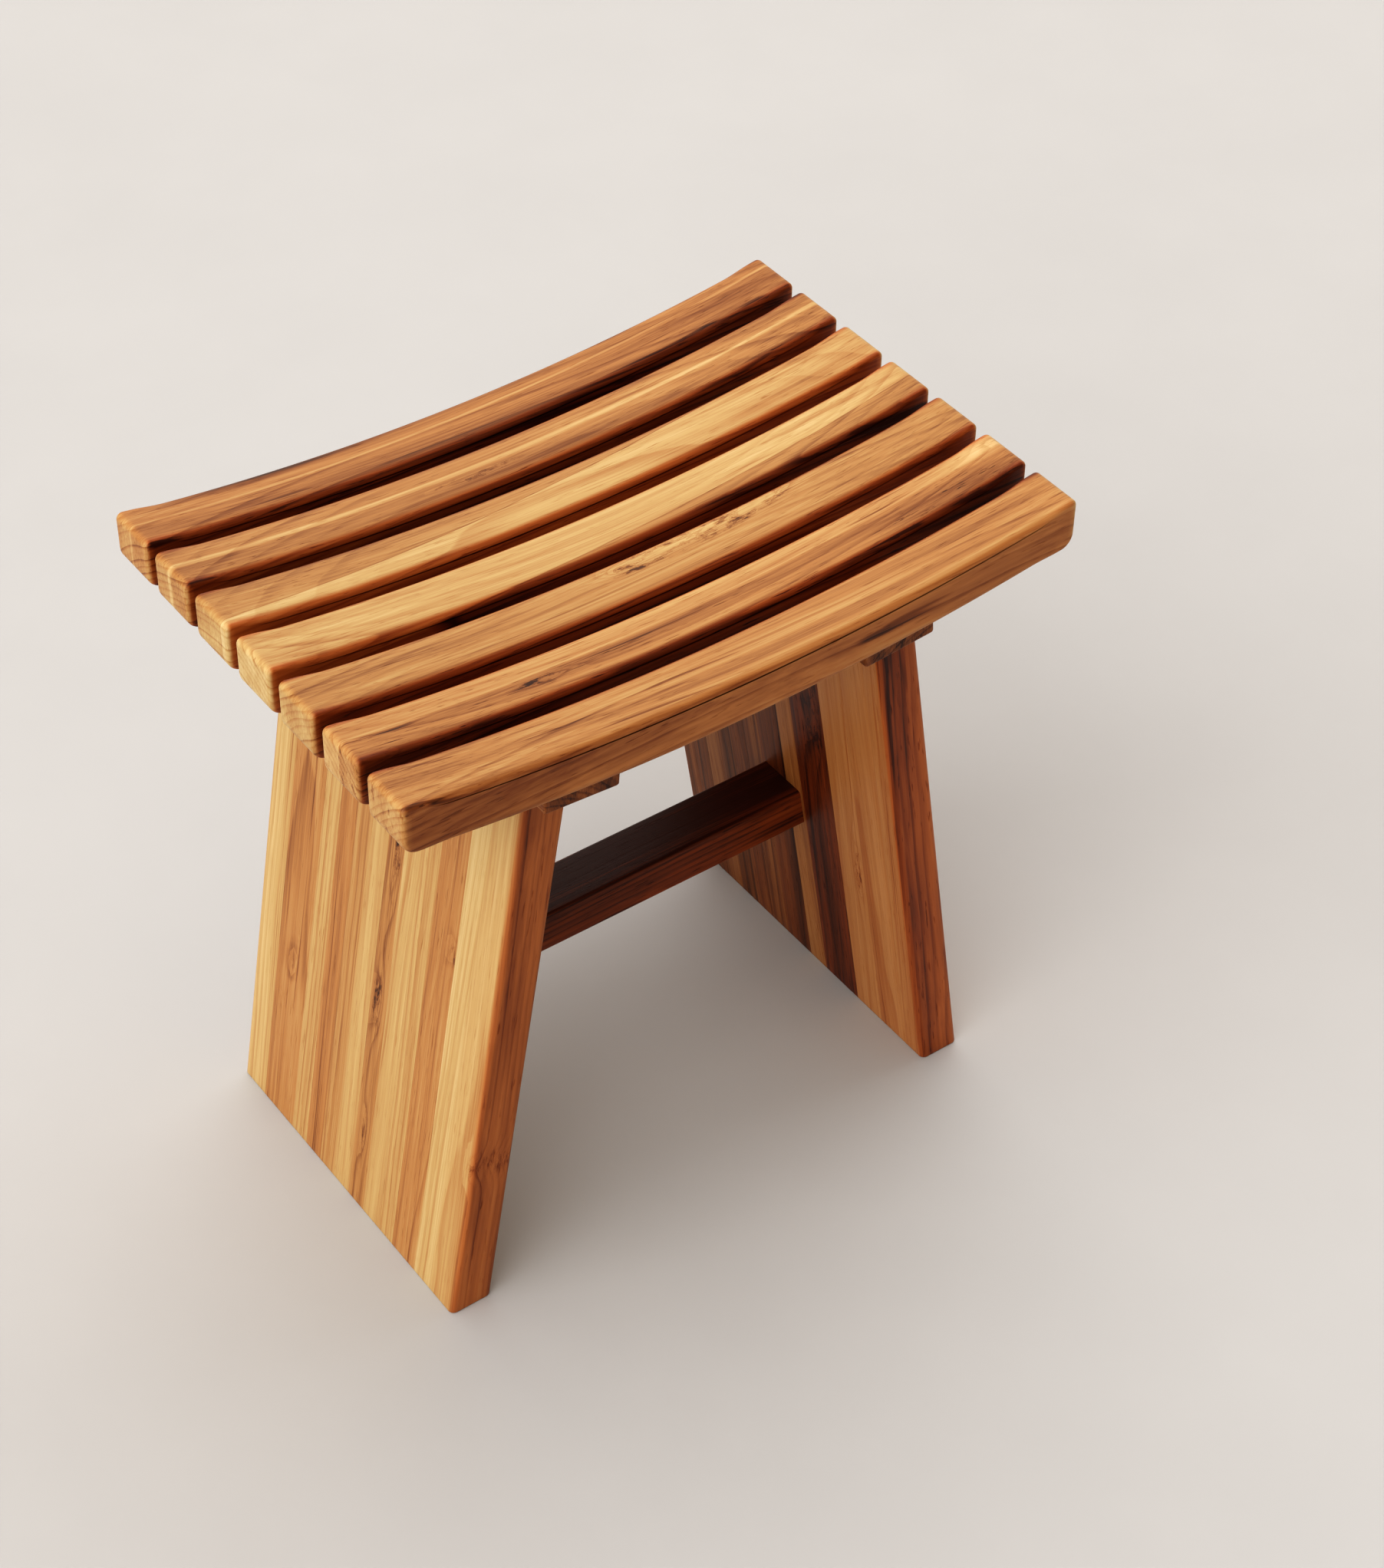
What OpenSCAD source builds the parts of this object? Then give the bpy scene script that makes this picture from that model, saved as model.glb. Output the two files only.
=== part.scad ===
// Shower stool: a dished seat of curved slats on two splayed leg panels.
// The origin is on the floor under the middle of the seat.
// X runs along the slats, Y across them (slat_1 is at +Y), Z is up.

/* [Seat] */
// length of the seat, along the slats
seat_w = 457; // [380:1:550]
// depth of the seat, across the slats
seat_d = 305; // [254:1:366]
// height of the seat's two raised ends, before their edges are rounded
seat_h = 458; // [380:1:550]
// how far the middle of the seat lies below its ends
seat_dish = 18; // [10:0.5:26]
// thickness of a slat
slat_t = 33; // [27:0.5:40]
// gap between neighbouring slats
slat_gap = 9; // [5:0.5:12]
// rounding of a slat's long edges
slat_round = 4.5; // [2:0.5:8]
// rounding of the upper edge of a slat's end
slat_end_round = 4; // [2:0.5:8]
// rounding of the lower corner of a slat's end
slat_heel_round = 10; // [6:0.5:18]

/* [Cleats] */
// width of the ledge that a cleat leaves inside its leg panel, where the screws stand
cleat_ledge = 20.5; // [14:0.5:30]
// thickness of a cleat
cleat_t = 16; // [14:0.5:22]
// how far a cleat's ends stop short of the seat's long sides
cleat_inset = 10; // [4:0.5:16]
// rounding of a cleat's lower edges
cleat_round = 2; // [1:0.5:5]

/* [Leg panels] */
// how far the leg panels are set back from the seat's long sides
leg_inset = 27.5; // [20:0.5:40]
// thickness of a leg panel
leg_t = 29; // [24:0.5:35]
// distance between the outer faces of the two panels on the floor
foot_span = 400; // [360:1:440]
// lean of each panel from upright, in degrees
leg_splay = 9.3; // [7:0.1:11.5]
// rounding of a panel's four long corners
leg_round = 4; // [2:0.5:7]
// relative widths of the left panel's strips, from back to front
left_strips = [3, 4, 2, 2, 2, 2, 2, 2, 2, 3, 2, 3];
// relative widths of the right panel's strips, from back to front
right_strips = [2, 2, 2, 2, 2, 2, 3, 2, 4, 3, 3, 2];

/* [Stretcher] */
// width of the stretcher, across the slats
stretcher_w = 38; // [32:0.5:50]
// height of the stretcher's section
stretcher_t = 30; // [24:0.5:40]
// height of the stretcher's underside above the floor
stretcher_z = 146; // [110:1:220]
// rounding of the stretcher's long edges
stretcher_round = 2.5; // [1:0.5:5]

/* [Fixings] */
// diameter of a slat screw
screw_d = 4; // [3:0.1:5]
// diameter of a slat screw's head
screw_head_d = 8; // [7:0.1:9]
// length of a slat screw
screw_len = 34; // [28:1:40]
// width of the cross slot in a screw head
screw_slot = 1.2; // [1:0.1:1.4]
// diameter of a dowel
dowel_d = 8; // [6:0.5:10]
// length of a dowel between a cleat and a leg panel
leg_dowel_len = 34; // [28:1:40]
// length of a dowel between a leg panel and the stretcher
stretcher_dowel_len = 40; // [36:1:44]
// number of dowels on top of each leg panel
leg_dowels = 4; // [2:1:5]
// share of a leg panel's width that lies between its outer dowels
leg_dowel_spread = 0.72; // [0.6:0.01:0.8]
// radial room round a screw or a dowel in its hole
fixing_gap = 0.1; // [0.05:0.05:0.2]

/* [Hidden] */
$fn = 48;
seat_arc_fn = 1440;
slats = 7;
slat_w = (seat_d - (slats - 1) * slat_gap) / slats;
slat_pitch = slat_w + slat_gap;

// the seat's top and the slats' undersides are arcs about one axis above the seat
seat_r = (seat_w * seat_w / 4 + seat_dish * seat_dish) / (2 * seat_dish);
under_r = seat_r + slat_t;
axis_z = seat_h - seat_dish + seat_r;
slat_half_angle = asin((seat_w / 2 + slat_t) / seat_r);

// a cleat's outer lower corner lies in its leg panel's outer face
cleat_w = leg_t / cos(leg_splay) + cleat_ledge;
cleat_r = under_r + cleat_t;
cleat_corner_r = sqrt(cleat_r * cleat_r + cleat_w * cleat_w / 4);
axis_to_leg = foot_span / 2 * cos(leg_splay) - axis_z * sin(leg_splay);
cleat_angle = leg_splay + asin(axis_to_leg / cleat_corner_r) - atan(cleat_w / 2 / cleat_r);
cleat_l = seat_d - 2 * cleat_inset;

// the leg panel stands between a cleat's outer edge and this distance from the cleat's middle
leg_w = seat_d - 2 * leg_inset;
leg_top_inner = cleat_w / 2 - leg_t / cos(leg_splay - cleat_angle);
leg_len = seat_h / cos(leg_splay);
leg_dowel_pitch = leg_w * leg_dowel_spread / (leg_dowels - 1);
leg_dowel_x = (cleat_w / 2 + leg_top_inner) / 2;
leg_dowel_depth = cleat_t * 2 / 3;

// the screws stand in the strip of a cleat that the leg panel leaves free
screw_x = (leg_top_inner - cleat_w / 2) / 2;
screw_head_t = (screw_head_d - screw_d) / 2;

// the stretcher's ends meet the sloping inner faces
stretcher_mid_z = stretcher_z + stretcher_t / 2;
leg_inner_x = foot_span / 2 - leg_t / cos(leg_splay);
stretcher_end_x = leg_inner_x - stretcher_mid_z * tan(leg_splay);
stretcher_dowel_y = stretcher_w / 4;
stretcher_dowel_depth = leg_t * 2 / 3;

// colours, as [red, green, blue]
teak = [0.72, 0.50, 0.29];
teak_light = [0.80, 0.60, 0.36];
teak_dark = [0.52, 0.31, 0.17];
steel = [0.70, 0.70, 0.70];
beech = [0.82, 0.69, 0.50];

function strip_name(side, i) = str(side, "_strip_", i < 10 ? "0" : "", i);
function sum_to(list, n) = n == 0 ? 0 : list[n - 1] + sum_to(list, n - 1);
function strip_edge(list, n) = leg_w * (0.5 - sum_to(list, n) / sum_to(list, len(list)));
function slat_y(i) = (slats + 1 - 2 * i) / 2 * slat_pitch;
function leg_dowel_y(i) = (i - (leg_dowels + 1) / 2) * leg_dowel_pitch;

// ---- shared shapes ----

// a rectangle with round corners, centred
module round_rect(w, h, r) {
    square([w - 2 * r, h], center = true);
    square([w, h - 2 * r], center = true);
    for (x = [-1, 1], y = [-1, 1]) {
        translate([x * (w / 2 - r), y * (h / 2 - r)]) circle(r);
    }
}

// stands a shape drawn in x and z upright, and gives it a depth along Y
module along_y(depth) {
    rotate([90, 0, 0]) linear_extrude(depth, center = true) children();
}

// moves its children into a cleat's frame: z is 0 on the seat's axis, and x is outward
module at_cleat() {
    translate([0, 0, axis_z]) rotate([0, cleat_angle, 0]) mirror([1, 0, 0]) children();
}

// keeps its children on the left for side -1, and mirrors them to the right for side 1
module on_side(side) {
    mirror([side > 0 ? 1 : 0, 0, 0]) children();
}

// ---- slats ----

// what to take off a slat's right-hand end to leave a round corner centred on [x, z];
// reach is -1 for the corner below and 1 for the corner above
module corner_waste(x, z, r, reach) {
    away = [x, z - axis_z] / norm([x, z - axis_z]) * (r + slat_t) * -reach;
    difference() {
        polygon([
            [x, z],
            [x + 2 * r, z],
            [x + 2 * r, z + reach * 3 * r],
            [x + away[0], z + reach * 3 * r],
            [x + away[0], z + away[1]]
        ]);
        translate([x, z]) circle(r);
    }
}

// the waste at a slat's right-hand end, in x and z
module end_waste() {
    heel_x = seat_w / 2 - slat_heel_round;
    heel_z = axis_z - sqrt(pow(under_r - slat_heel_round, 2) - heel_x * heel_x);
    toe_x = seat_w / 2 - slat_end_round;
    toe_z = axis_z - sqrt(pow(seat_r + slat_end_round, 2) - toe_x * toe_x);
    corner_waste(heel_x, heel_z, slat_heel_round, -1);
    corner_waste(toe_x, toe_z, slat_end_round, 1);
}

// a length of curved slat with round long edges, longer than it needs to be
module slat_blank() {
    translate([0, 0, axis_z])
        rotate([90, 0, 0])
            rotate([0, 0, 270 - slat_half_angle])
                rotate_extrude(angle = 2 * slat_half_angle, $fn = seat_arc_fn)
                    translate([seat_r + slat_t / 2, 0])
                        round_rect(slat_t, slat_w, slat_round);
}

module slat(i) {
    color(i % 2 == 0 ? teak_light : teak)
        difference() {
            translate([0, slat_y(i), 0]) {
                difference() {
                    intersection() {
                        slat_blank();
                        translate([0, 0, seat_h - seat_dish]) {
                            cube([seat_w, 2 * slat_w, 4 * slat_t], center = true);
                        }
                    }
                    for (side = [0, 1]) {
                        mirror([side, 0, 0]) along_y(2 * slat_w) end_waste();
                    }
                }
            }
            for (side = [-1, 1]) {
                screw(side, i, fixing_gap);
            }
        }
}

// ---- cleats ----

// a cleat's end view in its own frame, before its top is hollowed to fit the slats
module cleat_section() {
    top_t = slat_t / 2;
    translate([0, -cleat_r + cleat_round]) {
        translate([-cleat_w / 2, 0]) square([cleat_w, cleat_t - cleat_round + top_t]);
    }
    translate([-cleat_w / 2 + cleat_round, -cleat_r]) {
        square([cleat_w - 2 * cleat_round, cleat_t]);
    }
    for (x = [-1, 1]) {
        translate([x * (cleat_w / 2 - cleat_round), -cleat_r + cleat_round]) {
            circle(cleat_round);
        }
    }
}

module cleat(side) {
    color(teak_dark)
        difference() {
            on_side(side) at_cleat() along_y(cleat_l) cleat_section();
            translate([0, 0, axis_z]) rotate([90, 0, 0]) {
                cylinder(r = under_r, h = 2 * cleat_l, center = true, $fn = seat_arc_fn);
            }
            for (i = [1:slats]) {
                screw(side, i, fixing_gap);
            }
            for (i = [1:leg_dowels]) {
                leg_dowel(side, i, fixing_gap);
            }
        }
}

// ---- leg panels ----

// the side view of the left panel's room: above the floor and below its cleat
module leg_room() {
    intersection() {
        translate([-seat_w, 0]) square([seat_w, seat_h]);
        translate([0, axis_z]) rotate(-cleat_angle) {
            translate([-seat_w, -cleat_r - 2 * seat_h]) square([2 * seat_w, 2 * seat_h]);
        }
    }
}

// the left panel between two places across the seat
module leg_slice(y_back, y_front) {
    intersection() {
        translate([-foot_span / 2, 0, 0]) rotate([0, leg_splay, 0]) {
            translate([0, 0, -leg_t]) linear_extrude(leg_len + 2 * leg_t) {
                intersection() {
                    translate([leg_t / 2, 0]) round_rect(leg_t, leg_w, leg_round);
                    polygon([[0, y_front], [leg_t, y_front], [leg_t, y_back], [0, y_back]]);
                }
            }
        }
        along_y(2 * leg_w) leg_room();
    }
}

module strip(side, strips, i) {
    tone = strips[i - 1] == 2 ? teak : strips[i - 1] == 3 ? teak_light : teak_dark;
    color(tone)
        difference() {
            on_side(side) leg_slice(strip_edge(strips, i - 1), strip_edge(strips, i));
            for (k = [1:leg_dowels]) {
                leg_dowel(side, k, fixing_gap);
            }
            for (k = [-1, 1]) {
                stretcher_dowel(side, k, fixing_gap);
            }
        }
}

// ---- stretcher ----

// the side view of the room between the panels' inner faces
module stretcher_room() {
    rise = 2 * stretcher_mid_z;
    polygon([
        [-leg_inner_x, 0],
        [leg_inner_x, 0],
        [leg_inner_x - rise * tan(leg_splay), rise],
        [-leg_inner_x + rise * tan(leg_splay), rise]
    ]);
}

module stretcher() {
    color(teak_dark)
        difference() {
            intersection() {
                translate([0, 0, stretcher_mid_z]) rotate([90, 0, 90]) {
                    linear_extrude(foot_span, center = true) {
                        round_rect(stretcher_w, stretcher_t, stretcher_round);
                    }
                }
                along_y(2 * stretcher_w) stretcher_room();
            }
            for (side = [-1, 1], k = [-1, 1]) {
                stretcher_dowel(side, k, fixing_gap);
            }
        }
}

// ---- fixings, each also the tool for its own hole: gap is the room to add all round ----

// a countersunk screw from below, flush with the cleat, into slat i
module screw(side, i, gap = 0) {
    on_side(side) at_cleat() translate([screw_x, slat_y(i), -cleat_r]) {
        cylinder(r = screw_d / 2 + gap, h = screw_len + gap);
        cylinder(r1 = screw_head_d / 2 + gap, r2 = screw_d / 2 + gap, h = screw_head_t);
    }
}

// the cross slot in a screw's head
module screw_cross(side, i) {
    on_side(side) at_cleat() translate([screw_x, slat_y(i), -cleat_r]) {
        for (turn = [0, 90]) {
            rotate(turn) cube([screw_d, screw_slot, screw_head_t], center = true);
        }
    }
}

module slat_screws() {
    color(steel)
        for (side = [-1, 1], i = [1:slats]) {
            difference() {
                screw(side, i);
                screw_cross(side, i);
            }
        }
}

// a dowel from a cleat down into its leg panel
module leg_dowel(side, i, gap = 0) {
    low = leg_dowel_len - leg_dowel_depth + gap;
    on_side(side) at_cleat() {
        translate([leg_dowel_x, leg_dowel_y(i), -cleat_r - low]) {
            cylinder(d = dowel_d + 2 * gap, h = leg_dowel_len + 2 * gap);
        }
    }
}

module leg_dowels() {
    color(beech)
        for (side = [-1, 1], i = [1:leg_dowels]) {
            leg_dowel(side, i);
        }
}

// a dowel from a leg panel into the stretcher's end, k = -1 in front and 1 behind
module stretcher_dowel(side, k, gap = 0) {
    x = stretcher_end_x + stretcher_dowel_depth + gap;
    on_side(side) translate([-x, k * stretcher_dowel_y, stretcher_mid_z]) {
        rotate([0, 90, 0]) cylinder(d = dowel_d + 2 * gap, h = stretcher_dowel_len + 2 * gap);
    }
}

module stretcher_dowels() {
    color(beech)
        for (side = [-1, 1], k = [-1, 1]) {
            stretcher_dowel(side, k);
        }
}

// ---- the parts ----

for (i = [1:slats]) {
    slat(i);
}
for (i = [1:len(left_strips)]) {
    strip(-1, left_strips, i);
}
for (i = [1:len(right_strips)]) {
    strip(1, right_strips, i);
}
cleat(-1);  // left_cleat
cleat(1);  // right_cleat
stretcher();
slat_screws();
leg_dowels();
stretcher_dowels();
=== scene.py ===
"""A teak shower stool: curved slats on two splayed leg panels.

Laid out as an add-on and run as a script. Every piece is a closed surface worked out from the
packed model's boxes and a few sizes, and carries its own wood grain as mesh attributes.
Lengths are in metres, +X runs along the slats, +Y across them and +Z is up.
"""

import math

import bpy
import numpy as np
from bpy.props import FloatProperty, FloatVectorProperty, PointerProperty
from mathutils import Matrix, Vector


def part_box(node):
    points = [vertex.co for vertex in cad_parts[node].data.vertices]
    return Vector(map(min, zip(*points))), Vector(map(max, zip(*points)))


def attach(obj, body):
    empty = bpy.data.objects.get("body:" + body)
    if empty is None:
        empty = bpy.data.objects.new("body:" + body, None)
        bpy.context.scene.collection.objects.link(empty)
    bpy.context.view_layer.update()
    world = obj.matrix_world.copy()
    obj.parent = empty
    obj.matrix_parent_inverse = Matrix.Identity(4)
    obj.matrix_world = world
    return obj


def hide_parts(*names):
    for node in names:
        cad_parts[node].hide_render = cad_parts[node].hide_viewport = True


bl_info = {
    "name": "Teak shower stool",
    "version": (1, 0, 0),
    "blender": (4, 5, 0),
    "location": "3D View > Sidebar > Stool",
    "description": "Builds the slats, leg panels, cleats, stretcher and fixings of a teak stool",
    "category": "Add Mesh",
}

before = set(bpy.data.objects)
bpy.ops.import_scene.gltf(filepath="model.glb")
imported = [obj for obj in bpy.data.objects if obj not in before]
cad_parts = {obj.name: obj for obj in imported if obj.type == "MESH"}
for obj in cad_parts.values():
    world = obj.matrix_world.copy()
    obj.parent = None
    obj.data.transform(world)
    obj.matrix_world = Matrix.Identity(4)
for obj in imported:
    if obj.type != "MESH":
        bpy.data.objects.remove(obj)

SLATS = 7
STRIPS = 12
# The radius that a corner with no rounding still has, so that its points stay apart.
SHARP = 2e-5
# Faces that meet at more than this angle keep a crisp edge between them.
CREASE = math.radians(40)


# ---------------------------------------------------------------- properties

class StoolSeat(bpy.types.PropertyGroup):
    """Sizes of the seat's slats."""

    height: FloatProperty(
        name="Height",
        description="Height of the seat's ends before their edges are rounded",
        default=0.458, unit="LENGTH")
    dish: FloatProperty(
        name="Dish",
        description="How far the middle of the seat lies below its ends",
        default=0.018, unit="LENGTH")
    thickness: FloatProperty(
        name="Thickness", description="Thickness of a slat", default=0.033, unit="LENGTH")
    edge: FloatProperty(
        name="Edge rounding",
        description="Rounding of a slat's long edges",
        default=0.005, unit="LENGTH")
    end_edge: FloatProperty(
        name="End edge rounding",
        description="Rounding of the upright edges of a slat's end",
        default=0.0028, unit="LENGTH")
    toe: FloatProperty(
        name="Toe rounding",
        description="Rounding of the upper edge of a slat's end",
        default=0.004, unit="LENGTH")
    heel: FloatProperty(
        name="Heel rounding",
        description="Rounding of the lower corner of a slat's end",
        default=0.010, unit="LENGTH")
    crown: FloatProperty(
        name="Crown",
        description="How far a slat's top falls from its middle to its long edges",
        default=0.0004, unit="LENGTH")


class StoolLegs(bpy.types.PropertyGroup):
    """Sizes of the two leg panels."""

    thickness: FloatProperty(
        name="Thickness", description="Thickness of a panel", default=0.029, unit="LENGTH")
    splay: FloatProperty(
        name="Splay",
        description="Lean of a panel from upright",
        default=math.radians(9.3), subtype="ANGLE")
    edge: FloatProperty(
        name="Edge rounding",
        description="Rounding of a panel's four long corners",
        default=0.004, unit="LENGTH")
    foot: FloatProperty(
        name="Foot rounding",
        description="Easing of the edges that stand on the floor",
        default=0.0012, unit="LENGTH")
    glue_line: FloatProperty(
        name="Glue line",
        description="Easing of the edges where two strips meet",
        default=0.00006, unit="LENGTH", precision=6)


class StoolFrame(bpy.types.PropertyGroup):
    """Sizes of the cleats and the stretcher."""

    cleat_thickness: FloatProperty(
        name="Cleat thickness", description="Thickness of a cleat", default=0.016, unit="LENGTH")
    ledge: FloatProperty(
        name="Cleat ledge",
        description="Width of the cleat that shows inside its leg panel",
        default=0.0205, unit="LENGTH")
    cleat_edge: FloatProperty(
        name="Cleat rounding",
        description="Rounding of a cleat's lower edges",
        default=0.002, unit="LENGTH")
    cleat_end: FloatProperty(
        name="Cleat end easing",
        description="Easing of the edges at a cleat's two ends",
        default=0.0015, unit="LENGTH")
    stretcher_edge: FloatProperty(
        name="Stretcher rounding",
        description="Rounding of the stretcher's long edges",
        default=0.0025, unit="LENGTH")


class StoolWood(bpy.types.PropertyGroup):
    """Colours and grain of the teak."""

    pale: FloatVectorProperty(
        name="Pale", description="Sapwood and the lightest bands",
        default=(0.645, 0.515, 0.28), subtype="COLOR", min=0, max=1)
    tan: FloatVectorProperty(
        name="Tan", description="Light heartwood",
        default=(0.525, 0.363, 0.158), subtype="COLOR", min=0, max=1)
    honey: FloatVectorProperty(
        name="Honey", description="Ordinary heartwood",
        default=(0.425, 0.222, 0.078), subtype="COLOR", min=0, max=1)
    brown: FloatVectorProperty(
        name="Brown", description="Late wood and darker boards",
        default=(0.225, 0.086, 0.025), subtype="COLOR", min=0, max=1)
    dark: FloatVectorProperty(
        name="Dark", description="Mineral streaks and knots",
        default=(0.045, 0.015, 0.007), subtype="COLOR", min=0, max=1)
    red: FloatVectorProperty(
        name="Red", description="Tint of the reddest boards",
        default=(1.0, 0.58, 0.41), subtype="COLOR", min=0, max=1)
    ring_gap: FloatProperty(
        name="Ring gap", description="Mean distance between growth rings",
        default=0.0042, unit="LENGTH")
    roughness: FloatProperty(
        name="Roughness", description="Roughness of the oiled surface",
        default=0.45, min=0, max=1, subtype="FACTOR")
    specular: FloatProperty(
        name="Specular", description="How strongly the oiled surface mirrors",
        default=0.28, min=0, max=1, subtype="FACTOR")


class StoolStage(bpy.types.PropertyGroup):
    """Camera, floor and lights."""

    azimuth: FloatProperty(
        name="Azimuth", description="Direction the camera stands in, from straight in front",
        default=math.radians(-36.59), subtype="ANGLE")
    elevation: FloatProperty(
        name="Elevation", description="Height of the camera above the horizon",
        default=math.radians(42.31), subtype="ANGLE")
    roll: FloatProperty(
        name="Roll", description="Lean of the camera to one side",
        default=math.radians(0.98), subtype="ANGLE")
    distance: FloatProperty(
        name="Distance", description="Distance from the camera to what it aims at",
        default=1.981, unit="LENGTH")
    lens: FloatProperty(
        name="Lens", description="Focal length for a 36 mm sensor", default=76.43)
    aim: FloatVectorProperty(
        name="Aim", description="The point that the camera aims at",
        default=(0.0189, -0.0681, 0.2841), subtype="XYZ", unit="LENGTH")
    floor: FloatVectorProperty(
        name="Floor", description="Colour of the floor",
        default=(0.51, 0.516, 0.522), subtype="COLOR", min=0, max=1)
    floor_half: FloatProperty(
        name="Floor half size", description="Half the length of the floor's sides",
        default=60.0, unit="LENGTH")
    sky: FloatProperty(
        name="Sky", description="Strength of the light from all round", default=0.30, min=0)
    sky_colour: FloatVectorProperty(
        name="Sky colour", description="Colour of the light from all round",
        default=(1.0, 0.80, 0.62), subtype="COLOR", min=0, max=1)
    top: FloatProperty(
        name="Top light", description="Strength of the soft light from above", default=1.03, min=0)
    side: FloatProperty(
        name="Side light", description="Strength of the soft light from the left",
        default=1.72, min=0)
    back: FloatProperty(
        name="Back light", description="Strength of the soft light from behind on the right",
        default=1.3, min=0)


# ---------------------------------------------------------------- surfaces

def rounding(radius, steps):
    """A quarter round: how far each step lies in from the face, and how far short of the edge.

    Step angles run evenly from 0 to 90 degrees; inset is r(1 - sin a), reach is r(1 - cos a).
    """
    a = np.linspace(0.0, math.pi / 2, steps + 1)
    return radius * (1 - np.sin(a)), radius * (1 - np.cos(a))


def arc(centre, radius, start, end, steps):
    """Points on a circle: centre + radius (cos a, sin a), a running evenly from start to end."""
    a = np.linspace(start, end, steps + 1)
    return np.column_stack([centre[0] + radius * np.cos(a), centre[1] + radius * np.sin(a)])


def line(start, end, steps):
    """Points spaced evenly from start to end."""
    t = np.linspace(0.0, 1.0, steps + 1)[:, None]
    return np.asarray(start) * (1 - t) + np.asarray(end) * t


def normal_arc(centre, radius, start, end, steps, out=1):
    """An arc with its outward normals beside it: x, z, then the normal's x and z."""
    points = arc(centre, radius, start, end, steps)
    return np.hstack([points, out * (points - np.asarray(centre)) / radius])


def join(*runs):
    """One closed outline from runs that each end where the next one starts."""
    return np.concatenate([run[:-1] for run in runs])


def round_box_outline(low, high, radii, across, down):
    """A rectangle with its own rounding at each corner, as a closed outline of points.

    It starts half way round the corner (low x, high y), runs along the high-y side, down the
    high-x side, back along the low-y side and up the low-x side. radii holds the corners in
    that order. Each side has the same number of points, half of each corner counted in.
    """
    (x0, y0), (x1, y1) = low, high
    a, b, c, d = radii
    q = math.pi / 4
    bend = 4
    run = across - 2 * bend
    fall = down - 2 * bend
    return join(
        arc((x0 + a, y1 - a), a, 3 * q, 2 * q, bend),
        line((x0 + a, y1), (x1 - b, y1), run),
        arc((x1 - b, y1 - b), b, 2 * q, q, bend),
        arc((x1 - b, y1 - b), b, q, 0, bend),
        line((x1, y1 - b), (x1, y0 + c), fall),
        arc((x1 - c, y0 + c), c, 0, -q, bend),
        arc((x1 - c, y0 + c), c, -q, -2 * q, bend),
        line((x1 - c, y0), (x0 + d, y0), run),
        arc((x0 + d, y0 + d), d, -2 * q, -3 * q, bend),
        arc((x0 + d, y0 + d), d, -3 * q, -4 * q, bend),
        line((x0, y0 + d), (x0, y1 - a), fall),
        arc((x0 + a, y1 - a), a, 4 * q, 3 * q, bend),
    )


def cap_grid(loop, across, down):
    """The inside points of an end cap, filled between its four sides.

    Each point is the mean of the two straight blends between opposite sides, less the blend of
    the four corners (a Coons patch). Returns them by row, without the outline itself.
    """
    top = loop[:across + 1]
    right = loop[across:across + down + 1]
    bottom = loop[across + down:2 * across + down + 1][::-1]
    left = np.concatenate([loop[2 * across + down:], loop[:1]])[::-1]
    u = np.linspace(0, 1, across + 1)[None, :, None]
    v = np.linspace(0, 1, down + 1)[:, None, None]
    sides = (1 - v) * top[None] + v * bottom[None] + (1 - u) * left[:, None] + u * right[:, None]
    corners = ((1 - v) * ((1 - u) * top[0] + u * top[-1])
               + v * ((1 - u) * bottom[0] + u * bottom[-1]))
    return (sides - corners)[1:-1, 1:-1]


def cap_faces(first, inner, loop_size, across, down):
    """Quads of a cap whose outline starts at vertex first, and its inside points at inner."""
    ids = np.zeros((down + 1, across + 1), np.int64)
    ids[1:-1, 1:-1] = inner + np.arange((down - 1) * (across - 1)).reshape(down - 1, across - 1)
    ids[0] = first + np.arange(across + 1)
    ids[:, -1] = first + across + np.arange(down + 1)
    ids[-1] = first + across + down + np.arange(across, -1, -1)
    ids[:, 0] = first + (-np.arange(down + 1)) % loop_size
    return np.stack([ids[:-1, :-1], ids[:-1, 1:], ids[1:, 1:], ids[1:, :-1]], -1).reshape(-1, 4)


def closed_loft(loops, across, down):
    """A closed surface through outlines of the same number of points, with both ends filled.

    loops is an array of stations by points by 3. Returns vertices and quads facing outwards,
    which the sign of the enclosed volume decides.
    """
    stations, size, _ = loops.shape
    ids = np.arange(stations * size).reshape(stations, size)
    after = np.roll(ids, -1, axis=1)
    sides = np.stack([ids[:-1], after[:-1], after[1:], ids[1:]], -1).reshape(-1, 4)
    inside = (across - 1) * (down - 1)
    start = stations * size
    verts = np.concatenate([
        loops.reshape(-1, 3),
        cap_grid(loops[0], across, down).reshape(-1, 3),
        cap_grid(loops[-1], across, down).reshape(-1, 3),
    ])
    near = cap_faces(0, start, size, across, down)[:, ::-1]
    far = cap_faces((stations - 1) * size, start + inside, size, across, down)
    quads = np.concatenate([sides, near, far])
    a, b, c, d = (verts[quads[:, k]] for k in range(4))
    volume = np.einsum("ij,ij->", a, np.cross(b, c)) + np.einsum("ij,ij->", a, np.cross(c, d))
    return verts, quads if volume > 0 else quads[:, ::-1]


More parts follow.
